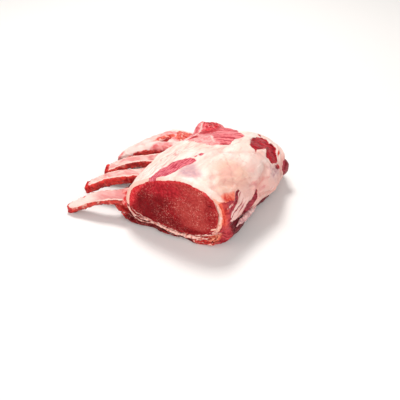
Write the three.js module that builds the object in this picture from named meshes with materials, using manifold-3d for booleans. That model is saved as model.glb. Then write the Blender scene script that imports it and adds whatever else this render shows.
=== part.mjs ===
// A raw rack of pork: a loin with its fat cover, lying on the flat underside of the rib meat, and five
// trimmed ribs that leave it on one side and arch down. X runs across the rack, from the rib tips (-) to the
// backbone side (+). Y runs along the loin, away from the front cut. Z is up, and the origin is under the
// middle of the whole. The shape functions work from the loin's own zero, at the front cut; the group is
// moved at the end.
import * as THREE from 'three';
import Module from 'manifold-3d';
import { mergeVertices } from 'three/addons/utils/BufferGeometryUtils.js';

const wasm = await Module();
wasm.setup();

// Driving dimensions, in millimetres
const loinLength = 158;
const seam = 0.3; // clearance between neighbouring pieces
const ribSeam = 0.5; // the ribs come out of rough meat, so they keep a little more
const loinFacets = 38; // facets round the loin
const loinSteps = 19; // and along it
const coverTop = 3; // thickness of the fat cover over the eye at the front cut
const coverLeft = 3.5;
const coverRight = 8;
const coverUnder = 2; // the white sheet beneath the eye
const coverGain = 7; // how much thicker the cover is at the back, where the eye tapers
const coverSkirt = 5; // how far the fat hangs down over the meat along the backbone side
const frontEdge = 1.6; // rounding of the outer edge of the front cut
const backEdge = 7;
const fallStart = 40; // from here the loin gets lower towards the back
const fallShare = 0.5; // share of its height that it loses by the back cut
const middle = -22; // across, where the loin is widest along its length
const sideBulge = 8; // how far the backbone side swells towards the back
const cornerStart = -8; // across, where the cuts begin to bend round towards the backbone side
const cornerReach = 46;
const frontCorner = 14; // how far the front cut has drawn back at the end of that reach
const backCorner = 26;
const meatCorner = 5; // the rib meat draws back further at the bottom of that corner
const meatTuck = 9; // and tucks in under the fat further along
const meatLips = [-70, 4]; // across, where its ragged front edge sticks out of the cut
const meatLip = 3.2;
const meatLipWidth = 12;
const ribSlant = 0.345; // the ribs run forward by this much for each millimetre outward
const ribRoot = -74; // across, inside the side of the loin

// The eye of the loin at the front cut, across and up, clockwise from its left end
const eyeOutline = [
  [-76.4, 23],
  [-72, 41],
  [-60, 52],
  [-43, 61],
  [-14, 69.3],
  [6, 66.4],
  [18.4, 56],
  [23.5, 39.5],
  [20.5, 21],
  [4, 11.5],
  [-23, 8],
  [-54, 12],
  [-72, 12.5],
];
// The rib meat under the eye at the front cut, with a wing towards the ribs on the left. What would go below
// zero is cut off flat there, and the rack rests on it.
const meatOutline = [
  [-94, 15],
  [-87, 5],
  [-74, -0.4],
  [-28, -1],
  [4, -1],
  [18, 0.2],
  [27, 5],
  [30.5, 12],
  [30, 20],
  [20, 27],
  [-30, 26],
  [-74, 26],
  [-88, 24],
];
// The end muscle seen from above, across and along
const endMuscleOutline = [
  [-68, 91],
  [-53, 79],
  [-37, 71],
  [-20, 69],
  [-8, 79],
  [-6, 98],
  [-13, 121],
  [-26, 142],
  [-48, 151],
  [-76, 147],
  [-80, 118],
];
const endMuscleProud = 1.2; // above the cover around it
const endMuscleDepth = 3.2;
const endLobe = { place: [-59, 134, 30], radii: [17.5, 26, 15] };

// The round end of a muscle that comes out past the fat near the back cut on the backbone side
const backMuscle = { place: [30.5, 128, 28], radii: [8.6, 8, 9] };

// The side muscle shows at the front cut and bare round the corner, up to a height that falls along the loin
const sideMuscleLow = 12;
const sideMuscleHigh = 55;
const sideMuscleLength = 36;
const creamLine = 2.6; // fat left between it and the eye

// The three single ribs: where each one's line starts along the loin, its section, how far out its tip is, its
// height at the root, on the arch and at the tip, how far it rolls over, and how narrow it gets
const ribs = {
  rib_1: { line: 29.6, width: 17, thick: 8.5, tip: -144, root: 24, arch: 23.5, end: 2, roll: 0.4, slim: 0.85 },
  rib_2: { line: 61.6, width: 16, thick: 12, tip: -143, root: 30, arch: 26.5, end: 10, roll: 0.2, slim: 0.95 },
  rib_3: { line: 95, width: 15, thick: 9.5, tip: -142, root: 29, arch: 26, end: 10.5, roll: 0.2, slim: 0.9 },
};

// The last two ribs are still joined as one flap: where its two edges start along the loin
const flapStart = 96;
const flapEnd = 142;

const { clamp, lerp } = THREE.MathUtils;
const bump = (value, place, width) => Math.exp(-(((value - place) / width) ** 2));

function ease(from, to, value) {
  const share = clamp((value - from) / (to - from), 0, 1);
  return share * share * (3 - 2 * share);
}

// An outline as evenly spaced points [across, up, outward normal across, outward normal up]
function evenOutline(points, count) {
  const knots = points.map(([x, z]) => new THREE.Vector3(x, 0, z));
  const curve = new THREE.CatmullRomCurve3(knots, true, 'catmullrom', 0.5);
  const even = curve.getSpacedPoints(count).slice(0, count);
  const clockwise = THREE.ShapeUtils.area(points.map(([x, z]) => new THREE.Vector2(x, z))) < 0 ? 1 : -1;
  return even.map((point, i) => {
    const before = even[(i + count - 1) % count];
    const after = even[(i + 1) % count];
    const scale = clockwise / Math.hypot(after.x - before.x, after.z - before.z);
    return [point.x, point.z, -(after.z - before.z) * scale, (after.x - before.x) * scale];
  });
}

// Low soft lumps of the meat and fat, as a height along the surface's normal
function lumps(x, y, z) {
  const { sin } = Math;
  const long = sin(0.071 * x + 0.9) * sin(0.058 * y + 0.4) + 0.6 * sin(0.11 * y - 0.07 * z + 2.1);
  const short = sin(0.19 * x + 0.13 * z + 1.3) * sin(0.17 * y + 0.6) + 0.5 * sin(0.31 * y + 0.21 * x);
  return 0.8 * long + 0.45 * short;
}

// How tall the loin is at a place along it, as a share of its height at the front cut
function height(y) {
  const share = clamp((y - fallStart) / (loinLength - fallStart), 0, 1.05);
  return 1 - fallShare * share ** 2.2;
}

// The loin is a little wider in the middle than at the front cut, and its backbone side swells at the back
function widened(x, y) {
  const share = clamp(y / loinLength, 0, 1);
  const swell = sideBulge * clamp((x - middle) / 50, 0, 1) ** 2 * Math.sin(Math.PI * share ** 1.6);
  return middle + (x - middle) * (1 + 0.03 * Math.sin(Math.PI * share)) + swell;
}

// The cuts round off towards the backbone side, and the back one a little towards the ribs too
function corner(x, y) {
  const right = clamp((x - cornerStart) / cornerReach, 0, 1.1) ** 2.5;
  const left = clamp((-52 - x) / 32, 0, 1) ** 2;
  const front = frontCorner * right * (1 - ease(0, loinLength * 0.55, y));
  const back = (backCorner * right + 6 * left) * ease(loinLength * 0.45, loinLength, y);
  return y + front - back;
}

// A point of a front outline, moved outward and carried back to a place along the loin
function carried([x, z, normalX, normalZ], y, outward) {
  const wide = widened(x + normalX * outward, y);
  const tall = (z + normalZ * outward) * height(y);
  return new THREE.Vector3(wide, corner(wide, y), Math.max(tall, 0));
}

// The eye tapers a little towards the back, inside a thicker cover
const taper = (y) => -coverGain * ease(30, loinLength, y);

function coverThickness(normalX, normalZ, y) {
  const top = (coverTop - coverUnder) * Math.max(normalZ, 0);
  const left = (coverLeft - coverUnder) * Math.max(-normalX, 0);
  const right = (coverRight - coverUnder) * Math.max(normalX, 0) ** 2;
  const lowRight = normalX > 0 ? Math.max(-2 * normalX * normalZ, 0) : 0;
  return coverUnder + top + left + right + coverSkirt * lowRight * ease(16, 60, y);
}

// How far a surface draws in as it rounds over towards the cuts
function edgeDrop(y, front, back) {
  const near = clamp(front - y, 0, front);
  const far = clamp(y - (loinLength - back), 0, back);
  return front - Math.sqrt(front * front - near * near) + back - Math.sqrt(back * back - far * far);
}

// Places along the loin, closer together where the ends round off
function stations(count) {
  return Array.from({ length: count }, (_, i) => {
    const share = i / (count - 1);
    const eased = (1 - Math.cos(Math.PI * share)) / 2;
    return loinLength * (0.55 * share + 0.45 * eased);
  });
}

function middleOf(ring) {
  return ring.reduce((sum, point) => sum.add(point), new THREE.Vector3()).divideScalar(ring.length);
}

// A closed body from rings of equally many points. Its ends are closed by fans, unless the last ring is joined
// to the first.
function bodyFromRings(rings, joined = false) {
  const count = rings[0].length;
  const points = rings.flat();
  const faces = [];
  const pairs = joined ? rings.length : rings.length - 1;
  for (let r = 0; r < pairs; r += 1) {
    const here = r * count;
    const next = ((r + 1) % rings.length) * count;
    for (let i = 0; i < count; i += 1) {
      const j = (i + 1) % count;
      faces.push([here + i, here + j, next + j], [here + i, next + j, next + i]);
    }
  }
  if (!joined) {
    const ends = [
      [0, false],
      [rings.length - 1, true],
    ];
    for (const [ring, last] of ends) {
      const hub = points.push(middleOf(rings[ring])) - 1;
      for (let i = 0; i < count; i += 1) {
        const here = ring * count + i;
        const next = ring * count + ((i + 1) % count);
        faces.push(last ? [hub, here, next] : [hub, next, here]);
      }
    }
  }
  const geometry = new THREE.BufferGeometry();
  const numbers = points.flatMap((point) => point.toArray());
  geometry.setAttribute('position', new THREE.Float32BufferAttribute(numbers, 3));
  geometry.setIndex(faces.flat());
  return facingOut(geometry);
}

function signedVolume(geometry) {
  const position = geometry.attributes.position;
  const index = geometry.index.array;
  const [a, b, c] = [new THREE.Vector3(), new THREE.Vector3(), new THREE.Vector3()];
  let sum = 0;
  for (let i = 0; i < index.length; i += 3) {
    a.fromBufferAttribute(position, index[i]);
    b.fromBufferAttribute(position, index[i + 1]);
    c.fromBufferAttribute(position, index[i + 2]);
    sum += a.dot(b.cross(c)) / 6;
  }
  return sum;
}

function facingOut(geometry) {
  if (signedVolume(geometry) < 0) {
    const index = geometry.index.array;
    for (let i = 0; i < index.length; i += 3) {
      [index[i + 1], index[i + 2]] = [index[i + 2], index[i + 1]];
    }
  }
  return geometry;
}

function toSolid(geometry) {
  const plain = geometry.clone();
  plain.deleteAttribute('normal');
  plain.deleteAttribute('uv');
  const merged = mergeVertices(plain, 1e-4);
  return new wasm.Manifold(
    new wasm.Mesh({
      numProp: 3,
      vertProperties: new Float32Array(merged.attributes.position.array),
      triVerts: new Uint32Array(merged.index.array),
    }),
  );
}

function toGeometry(solid) {
  const mesh = solid.getMesh();
  const geometry = new THREE.BufferGeometry();
  geometry.setAttribute('position', new THREE.Float32BufferAttribute(mesh.vertProperties, 3));
  geometry.setIndex(new THREE.Uint32BufferAttribute(mesh.triVerts, 1));
  return geometry;
}

// Of a solid that a cut left in several pieces, the largest
function largest(solid) {
  return solid.decompose().reduce((best, piece) => (piece.volume() > best.volume() ? piece : best));
}

// The eye: one lean muscle that runs from the front cut to the back cut
function eye(around, along, outward = 0) {
  const outline = evenOutline(eyeOutline, around);
  const rings = stations(along).map((y) => outline.map((point) => carried(point, y, taper(y) + outward)));
  const front = faceRings(rings[0], 0, -1);
  const back = faceRings(rings.at(-1), loinLength, 1).reverse();
  return bodyFromRings([...front, ...rings, ...back]);
}

// A cut face, slightly domed, as rings that shrink towards its middle. The smallest comes first.
function faceRings(edge, y, side) {
  const dome = 1.4;
  const centre = middleOf(edge);
  return [0.3, 0.6, 0.85].map((share) =>
    edge.map((point) => {
      const inner = centre.clone().lerp(point, share);
      inner.y = corner(inner.x, y) + side * dome * (1 - share ** 4);
      return inner;
    }),
  );
}

// The outside of the fat cover, as rings. The reach moves its surface outward. Square ends aren't rounded.
function coverRings(around, ys, reach, square = false) {
  const outline = evenOutline(eyeOutline, around);
  return ys.map((y) =>
    outline.map((point) => {
      const thick = coverThickness(point[2], point[3], y);
      const place = carried(point, y, thick);
      const lump = lumps(place.x, place.y, place.z) * ease(-0.6, 0.2, point[3]);
      const drop = square ? 0 : edgeDrop(y, frontEdge, backEdge);
      return carried(point, y, thick + reach + lump - drop);
    }),
  );
}

// The fat cover: a tube of fat round the eye, thin as a sheet beneath it
function cover(around, along) {
  const outline = evenOutline(eyeOutline, around);
  const ys = stations(along);
  const outside = coverRings(around, ys, 0);
  const inside = ys.map((y) => outline.map((point) => carried(point, y, taper(y) + seam))).reverse();
  return bodyFromRings([...outside, ...inside], true);
}

// All that the cover takes up with the eye in it. To cut with, its ends are square and run on past both cuts.
function filledCover(around, along, reach, past = 0) {
  const rings = coverRings(around, stations(along), reach, past > 0);
  if (past === 0) {
    return bodyFromRings(rings);
  }
  const ahead = rings[0].map((point) => new THREE.Vector3(point.x, point.y - past, point.z));
  const behind = rings.at(-1).map((point) => new THREE.Vector3(point.x, point.y + past, point.z));
  return bodyFromRings([ahead, ...rings, behind]);
}

// The rib meat: a slab of dark meat between the eye and the surface it lies on
function meat(around, along, outward) {
  const outline = evenOutline(meatOutline, around);
  const rings = stations(along).map((y) =>
    outline.map((point) => {
      const drop = edgeDrop(y, 2.5, backEdge);
      const place = carried(point, y, 0);
      const rough = place.z > 1.5 ? 0.8 * lumps(1.7 * place.x, 1.9 * place.y, place.z) : 0;
      const moved = carried(point, y, outward + rough - drop);
      const atFront = 1 - ease(0, 12, y);
      const lips = meatLips.reduce((sum, x) => sum + meatLip * bump(moved.x, x, meatLipWidth), 0);
      moved.y += (1.2 - 2 * outward) * (atFront - ease(loinLength - 12, loinLength, y)) - lips * atFront;
      const rightShare = clamp(moved.x / 27, 0, 1);
      moved.y += meatCorner * rightShare ** 2.5 * (1 - ease(0, loinLength / 2, y));
      moved.x -= meatTuck * rightShare * ease(25, 80, y);
      return moved;
    }),
  );
  return bodyFromRings(rings);
}

// A rib with its skin of membrane: rounded bars that leave the loin, arch over and come down to a sawn end
function rib({ line, width, thick, tip, root, arch, end, roll, slim }, around, along) {
  const forward = new THREE.Vector2(-1, -ribSlant).normalize();
  const sideways = new THREE.Vector2(-forward.y, forward.x).negate();
  const rings = [];
  for (let i = 0; i <= along; i += 1) {
    const share = i / along;
    const x = lerp(ribRoot, tip, 1 - (1 - share) ** 1.15);
    const y = line + ribSlant * x;
    const z = lerp(lerp(root, arch, ease(0, 0.5, share)), end, ease(0.35, 1.1, share));
    const blunt = share > 0.97 ? 0.72 : 1;
    const narrow = lerp(1, slim, ease(0.5, 1, share)) * blunt;
    const flare = 1 + 0.35 * (1 - ease(0, 0.3, share));
    const halfWidth = (width / 2) * narrow * flare;
    const halfThick = (thick / 2) * narrow * flare;
    const ring = [];
    for (let k = 0; k < around; k += 1) {
      const turn = (2 * Math.PI * k) / around;
      const [cos, sin] = [Math.cos(turn), Math.sin(turn)];
      const across = halfWidth * Math.sign(cos) * Math.abs(cos) ** 0.75;
      const up = halfThick * Math.sign(sin) * Math.abs(sin) ** 0.75;
      const tilted = across * Math.cos(roll) - up * Math.sin(roll);
      const raised = across * Math.sin(roll) + up * Math.cos(roll);
      const rough = 0.5 * lumps(2 * x, 2 * y + 9 * cos, 9 * sin);
      ring.push(
        new THREE.Vector3(
          x + sideways.x * (tilted + width / 2),
          y + sideways.y * (tilted + width / 2),
          Math.max(z + raised + rough, 0),
        ),
      );
    }
    rings.push(ring);
  }
  return bodyFromRings(rings);
}

// The last two ribs, still joined by the meat and membrane between them, as one broad flap
function ribFlap(around, along) {
  const half = around / 2;
  const rings = [];
  for (let i = 0; i <= along; i += 1) {
    const share = i / along;
    const base = lerp(flapStart, flapEnd, share);
    const outer = -142 + 5 * ease(0, 0.2, share) + 22 * ease(0.25, 1.05, share) + 6 * ease(0.93, 1, share);
    const ridge = 2.6 * bump(share, 0.14, 0.14) + 2.4 * bump(share, 0.8, 0.15);
    const rim = 1 - 0.6 * (1 - ease(0, 0.06, share)) - 0.6 * ease(0.94, 1, share);
    const ring = [];
    for (let k = 0; k < around; k += 1) {
      const onTop = k < half;
      const step = onTop ? k / (half - 1) : (around - 1 - k) / (half - 1);
      const x = lerp(ribRoot, outer, Math.sin((step * Math.PI) / 2) ** 1.1);
      const lean = ribSlant * (x - ribRoot) * (1 - 0.55 * share);
      const fall = ease(0.3, 1.15, step);
      const z = lerp(30, 17, fall) - 3 * share;
      const notch = -3.4 * bump(share, 0.52, 0.09) * (1 - ease(0.35, 0.7, step));
      const relief = onTop ? ridge * (1 - 0.4 * step) + notch : 0;
      const halfThick = (3.6 * rim + relief) * (1 - 0.8 * ease(0.86, 1, step));
      const rough = 0.4 * lumps(2 * x, 2.2 * (base + lean), 20);
      ring.push(new THREE.Vector3(x, base + lean, z + (onTop ? halfThick : -halfThick) + rough));
    }
    rings.push(ring);
  }
  return bodyFromRings(rings);
}

// An upright prism on an outline drawn from above
function prism(points, outward, low, high) {
  const outline = evenOutline(points, 40);
  const rings = [low, high].map((z) =>
    outline.map(([x, y, outX, outY]) => new THREE.Vector3(x + outX * outward, y + outY * outward, z)),
  );
  return bodyFromRings(rings);
}

function ellipsoid({ place, radii }, outward) {
  const geometry = new THREE.SphereGeometry(1, 20, 14);
  geometry.scale(...radii.map((radius) => radius + outward));
  geometry.translate(...place);
  return toSolid(geometry);
}

// The end muscle: lean meat that lies bare at the back left, set into the cover, with a lobe that hangs over it
function endMuscle(outward, proud, depth) {
  const column = toSolid(prism(endMuscleOutline, outward, 18, 90));
  const skin = toSolid(filledCover(loinFacets, loinSteps, proud, 12));
  const core = toSolid(filledCover(loinFacets, loinSteps, -depth, 14));
  return largest(column.intersect(skin).add(ellipsoid(endLobe, outward)).subtract(core).subtract(eyeBlock));
}

// The room that the side muscle takes beside the eye, as a block whose top falls along the loin
function sideRoom(outward, margin) {
  const inside = 8;
  const outside = 60;
  const rings = [-10, 6, 14, 22, 30, sideMuscleLength].map((y) => {
    const top = lerp(sideMuscleHigh, sideMuscleLow + 3, ease(12, sideMuscleLength, y)) + margin;
    const low = sideMuscleLow - margin;
    const place = y === sideMuscleLength ? y + margin : y;
    return [
      new THREE.Vector3(inside, place, low),
      new THREE.Vector3(outside, place, low),
      new THREE.Vector3(outside, place, top),
      new THREE.Vector3(inside, place, top),
    ];
  });
  const outline = evenOutline(eyeOutline, loinFacets);
  const eyeSide = [-30, ...stations(12)].map((y) =>
    outline.map((point) => {
      const place = carried(point, Math.max(y, 0), outward);
      return new THREE.Vector3(place.x, y < 0 ? y : place.y, place.z);
    }),
  );
  return toSolid(bodyFromRings(rings)).subtract(toSolid(bodyFromRings(eyeSide)));
}

const looks = {
  loin_eye: { color: 0xa8343a, roughness: 0.35 },
  fat_cap: { color: 0xf3dccb, roughness: 0.45 },
  side_muscle: { color: 0xc63a34, roughness: 0.4 },
  end_muscle: { color: 0xe0606a, roughness: 0.4 },
  back_muscle: { color: 0xa02a30, roughness: 0.4 },
  rib_meat: { color: 0x93262c, roughness: 0.4 },
  rib_1: { color: 0xeda8a4, roughness: 0.4 },
  rib_2: { color: 0xe89f9c, roughness: 0.4 },
  rib_3: { color: 0xeba6a0, roughness: 0.4 },
  rib_flap: { color: 0xf0b4ae, roughness: 0.4 },
};

const eyeBlock = toSolid(eye(loinFacets, loinSteps, seam));
const coverBlock = toSolid(filledCover(loinFacets, loinSteps, seam, 10));
const meatBlock = toSolid(meat(loinFacets, loinSteps, ribSeam));
const neighbours = coverBlock.add(meatBlock);
const endRoom = endMuscle(seam, endMuscleProud + 6, endMuscleDepth + seam);
const backRoom = ellipsoid(backMuscle, seam);
const rooms = endRoom.add(backRoom).add(sideRoom(creamLine, seam));
const sideMuscle = toSolid(filledCover(loinFacets, loinSteps, 0)).intersect(sideRoom(creamLine + seam, 0));
const flap = toSolid(ribFlap(24, 16)).subtract(neighbours).subtract(endRoom);

const pieces = {
  loin_eye: eye(loinFacets, loinSteps),
  fat_cap: toGeometry(largest(toSolid(cover(loinFacets, loinSteps)).subtract(rooms))),
  side_muscle: toGeometry(largest(sideMuscle)),
  end_muscle: toGeometry(endMuscle(0, endMuscleProud, endMuscleDepth)),
  back_muscle: toGeometry(largest(ellipsoid(backMuscle, 0).subtract(eyeBlock))),
  rib_meat: toGeometry(largest(toSolid(meat(loinFacets, loinSteps, 0)).subtract(coverBlock))),
  rib_flap: toGeometry(largest(flap)),
};
for (const [name, shape] of Object.entries(ribs)) {
  pieces[name] = toGeometry(largest(toSolid(rib(shape, 14, 12)).subtract(neighbours)));
}

const group = new THREE.Group();
for (const [name, geometry] of Object.entries(pieces)) {
  const mesh = new THREE.Mesh(geometry, new THREE.MeshStandardMaterial({ metalness: 0, ...looks[name] }));
  mesh.name = name;
  group.add(mesh);
}
const box = new THREE.Box3().setFromObject(group, true);
group.position.set(-(box.min.x + box.max.x) / 2, -(box.min.y + box.max.y) / 2, -box.min.z);
group.updateMatrixWorld(true);

export default group;
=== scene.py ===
"""A raw rack of pork: a loin under its fat cover, on ragged rib meat, with five trimmed ribs on one side.

Shapes are worked out in millimetres from the loin's own zero, under the left end of its front cut: across is +X
towards the backbone side, along is +Y away from the front cut, and up is +Z.
"""
import math

import bpy
import numpy as np
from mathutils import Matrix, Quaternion, Vector


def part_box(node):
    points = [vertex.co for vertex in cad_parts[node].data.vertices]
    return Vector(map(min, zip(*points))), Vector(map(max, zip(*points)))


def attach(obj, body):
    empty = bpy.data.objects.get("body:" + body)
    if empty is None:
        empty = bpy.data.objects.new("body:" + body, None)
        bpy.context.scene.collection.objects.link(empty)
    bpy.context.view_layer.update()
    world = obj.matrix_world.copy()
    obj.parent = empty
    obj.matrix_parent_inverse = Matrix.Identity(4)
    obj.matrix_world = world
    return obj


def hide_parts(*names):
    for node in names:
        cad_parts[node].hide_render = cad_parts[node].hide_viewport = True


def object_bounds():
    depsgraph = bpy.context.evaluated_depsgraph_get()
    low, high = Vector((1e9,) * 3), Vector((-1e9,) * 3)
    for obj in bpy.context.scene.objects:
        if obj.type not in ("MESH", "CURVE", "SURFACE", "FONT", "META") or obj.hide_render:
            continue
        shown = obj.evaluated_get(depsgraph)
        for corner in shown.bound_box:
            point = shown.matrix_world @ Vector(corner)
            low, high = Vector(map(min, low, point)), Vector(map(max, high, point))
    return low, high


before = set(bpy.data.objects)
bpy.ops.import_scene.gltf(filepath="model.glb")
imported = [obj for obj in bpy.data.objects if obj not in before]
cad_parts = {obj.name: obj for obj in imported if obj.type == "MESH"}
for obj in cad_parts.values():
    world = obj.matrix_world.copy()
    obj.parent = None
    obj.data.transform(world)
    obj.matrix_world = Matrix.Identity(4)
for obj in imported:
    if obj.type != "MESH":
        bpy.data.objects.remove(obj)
cad_low, cad_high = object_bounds()

# The eye of the loin: one long lean muscle that fills the fat cover from the front cut to the back cut.
# Both ends are cut bare. The cut is moist and finely marbled: bright at its left rim, dark at its core and brick
# red to the right. Its pale flecks are partly marbling and partly painted highlights of the wet cut.
loin_length = 158.0
fall_start, fall_share = 40.0, 0.5  # from here the loin gets lower, by this share of its height at the back cut
middle = -22.0  # across, where it is widest along its length
side_bulge = 8.0
corner_start, corner_reach = -8.0, 46.0  # the cuts bend round towards the backbone side
front_corner, back_corner = 14.0, 26.0
eye_gain = 7.0  # the eye gets this much slimmer towards the back, and the cover thicker
face_dome = 1.4
eye_outline = [
    (-76.4, 23), (-72, 41), (-60, 52), (-43, 61), (-14, 69.3), (6, 66.4), (18.4, 56),
    (23.5, 39.5), (20.5, 21), (4, 11.5), (-23, 8), (-54, 12), (-72, 12.5),
]


def ease(start, stop, value):
    share = np.clip((value - start) / (stop - start), 0, 1)
    return share * share * (3 - 2 * share)


def unit(rows):
    return rows / np.linalg.norm(rows, axis=1, keepdims=True)


def stacked(*parts):
    """Numbers of different shapes as the coordinates of points."""
    return np.stack(np.broadcast_arrays(*parts), -1)


def lengths(points):
    """How far along a line each of its points lies."""
    return np.append(0, np.cumsum(np.linalg.norm(np.diff(points, axis=0), axis=1)))


def at_places(places, length, rows):
    """Rows of numbers, read off at other places along their length."""
    return np.stack([np.interp(places, length, column) for column in rows.T], 1)


def even_outline(points, count):
    """A smooth closed curve through the points, as even rows of across, up and the outward direction."""
    knots = np.array(points, float)
    share = np.linspace(0, 1, 60, endpoint=False)[:, None]
    parts = []
    for i in range(len(knots)):
        before, here, after, later = (knots[(i + k) % len(knots)] for k in (-1, 0, 1, 2))
        bend = 2 * before - 5 * here + 4 * after - later
        twist = 3 * here - before - 3 * after + later
        parts.append(here + 0.5 * share * (after - before + share * (bend + share * twist)))
    curve = np.concatenate(parts + [knots[:1]])
    length = lengths(curve)
    even = at_places(np.linspace(0, length[-1], count, endpoint=False), length, curve)
    step = np.roll(even, -1, 0) - np.roll(even, 1, 0)
    out = unit(stacked(step[:, 1], -step[:, 0]))
    area = (even[:, 0] * np.roll(even[:, 1], -1) - even[:, 1] * np.roll(even[:, 0], -1)).sum()
    return np.concatenate([even, out * np.sign(area)], 1)


def height(along):
    share = np.clip((along - fall_start) / (loin_length - fall_start), 0, 1.05)
    return 1 - fall_share * share**2.2


def widened(across, along):
    share = np.clip(along / loin_length, 0, 1)
    swell = side_bulge * np.clip((across - middle) / 50, 0, 1) ** 2 * np.sin(math.pi * share**1.6)
    return middle + (across - middle) * (1 + 0.03 * np.sin(math.pi * share)) + swell


def cornered(across, along):
    right = np.clip((across - corner_start) / corner_reach, 0, 1.1) ** 2.5
    left = np.clip((-52 - across) / 32, 0, 1) ** 2
    front = front_corner * right * (1 - ease(0, loin_length * 0.55, along))
    return along + front - (back_corner * right + 6 * left) * ease(loin_length * 0.45, loin_length, along)


def carried(outline, along, outward):
    """The outline moved outward and carried back along the loin, as rows of points."""
    across, up, out_across, out_up = outline.T
    wide = widened(across + out_across * outward, along)
    tall = np.maximum((up + out_up * outward) * height(along), 0)
    return stacked(wide, cornered(wide, along), tall)


def eye_slimming(along):
    return -eye_gain * ease(30, loin_length, along)


def stations(count):
    """Places along the loin, closer together towards both cuts."""
    share = np.linspace(0, 1, count)[:, None]
    return loin_length * (0.55 * share + 0.45 * (1 - np.cos(math.pi * share)) / 2)


def grain(points, size, seed):
    """Smooth noise from about -1 to 1, in lumps of that size in millimetres."""
    cell = points / np.asarray(size, float) + 17.3 * seed
    base = np.floor(cell).astype(np.int64)
    part = cell - base
    soft = part**3 * (part * (part * 6 - 15) + 10)
    total = 0
    for corner in np.ndindex(*(2,) * points.shape[-1]):
        mix = ((base + corner) * [73856093, 19349663, 83492791][: points.shape[-1]]).sum(-1)
        mix = (mix ^ (mix >> 13)) * 1274126177
        mix = (mix ^ (mix >> 15)) * 668265263 >> 5
        slope = ((mix[..., None] >> np.array([3, 11, 19][: points.shape[-1]])) & 255) / 127.5 - 1
        weight = np.where(np.array(corner) == 1, soft, 1 - soft).prod(-1)
        total = total + weight * (slope * (part - corner)).sum(-1)
    return 1.4 * total


def grains(place, *layers):
    """Layers of that noise, each a strength, a size and a seed."""
    return sum(strength * grain(place, size, seed) for strength, size, seed in layers)


def bell(value, centre, width):
    """A soft bump of 1 round a number."""
    return np.exp(-(((value - centre) / width) ** 2))


def humps(place, *rows):
    """Soft round bumps, each a height, a centre and a size each way."""
    return sum(tall * bell(place, np.array(centre), np.array(size)).prod(-1) for tall, centre, size in rows)


def in_band(place, spine):
    """How deep places lie in a band along a spine. The last number of each of its points is a half width."""
    spine = np.array(spine, float)
    deepest_yet = np.full(len(place), -99.0)
    for first, second in zip(spine, spine[1:]):
        way = (second - first)[:-1]
        share = np.clip((place - first[:-1]) @ way / (way @ way), 0, 1)
        away = np.linalg.norm(place - first[:-1] - share[:, None] * way, axis=1)
        deepest_yet = np.maximum(deepest_yet, first[-1] + share * (second[-1] - first[-1]) - away)
    return deepest_yet


def inside(place, outline):
    """How deep flat places lie inside a closed outline, negative outside."""
    corners = [np.append(corner, 0) for corner in outline]
    edge = -in_band(place, corners + corners[:1])
    odd = np.zeros(len(place), bool)
    for first, second in zip(corners, corners[1:] + corners[:1]):
        level = (first[1] > place[:, 1]) != (second[1] > place[:, 1])
        tilt = (second[0] - first[0]) / ((second[1] - first[1]) or 1e-9)
        odd ^= level & (place[:, 0] < first[0] + (place[:, 1] - first[1]) * tilt)
    return np.where(odd, edge, -edge)


def deepest(place, *shapes):
    """How deep places lie in any of several shapes, bands or closed outlines."""
    ways = [in_band if len(shape[0]) > place.shape[1] else inside for shape in shapes]
    return np.max([way(place, shape) for way, shape in zip(ways, shapes)], 0)


def ring_faces(rows, columns, joined=False):
    """Four-sided faces between closed rings of points. Joined, the last ring meets the first."""
    row = np.arange(rows if joined else rows - 1)[:, None]
    column = np.arange(columns)
    here, ahead = row * columns, (row + 1) % rows * columns
    beside = (column + 1) % columns
    return np.stack([here + column, here + beside, ahead + beside, ahead + column], -1).reshape(-1, 4).tolist()


def closed_rings(rings):
    """The points and faces of a body made of closed rings, with a fan of triangles over each end."""
    rows, columns = rings.shape[:2]
    points = np.concatenate([rings.reshape(-1, 3), [rings[0].mean(0)], [rings[-1].mean(0)]])
    faces = ring_faces(rows, columns)
    last = (rows - 1) * columns
    for i in range(columns):
        j = (i + 1) % columns
        faces += [[rows * columns, j, i], [rows * columns + 1, last + i, last + j]]
    return points, faces


def for_rings(values, rings, at_ends=(0, 0)):
    """One value for each point of a body made of closed rings, and two for the middles of its ends."""
    return np.append(np.broadcast_to(values, rings.shape[:2]).ravel(), at_ends)


def drawn_in(ring, shares):
    """Rings that are drawn in towards the middle of one, by shares of its size."""
    return ring.mean(0) + (ring - ring.mean(0)) * shares


# The loin's zero in the frame: the same shape as the CAD eye's, set with its lowest corner on that node's corner.
coarse_rings = carried(even_outline(eye_outline, 38), stations(19), eye_slimming(stations(19)))
zero = np.array(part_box("loin_eye")[0]) * 1000 - coarse_rings.reshape(-1, 3).min(0)
zero[1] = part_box("fat_cap")[0].y * 1000
zero[2] = 0


def framed(points):
    """Points in the frame's metres, kept in the CAD box."""
    return np.clip((points + zero) / 1000, np.array(cad_low), np.array(cad_high))


def piece(name, body, node, material):
    """A smooth mesh that stands for a CAD node, from a body's points in millimetres and its faces."""
    mesh = bpy.data.meshes.new(name)
    mesh.from_pydata(framed(body[0]).tolist(), [], body[1])
    mesh.update()
    corners = np.empty(len(mesh.vertices) * 3)
    mesh.vertices.foreach_get("co", corners)
    mesh.calc_loop_triangles()
    index = np.empty(len(mesh.loop_triangles) * 3, int)
    mesh.loop_triangles.foreach_get("vertices", index)
    a, b, c = corners.reshape(-1, 3)[index.reshape(-1, 3)].transpose(1, 0, 2)
    if (a * np.cross(b, c)).sum() < 0:
        mesh.flip_normals()
    mesh.shade_smooth()
    mesh.materials.append(material)
    made = bpy.data.objects.new(name, mesh)
    bpy.context.collection.objects.link(made)
    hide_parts(node)
    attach(made, "root")
    return made


def points_of(made):
    flat = np.empty(len(made.data.vertices) * 3)
    made.data.vertices.foreach_get("co", flat)
    return flat.reshape(-1, 3) * 1000 - zero


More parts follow.
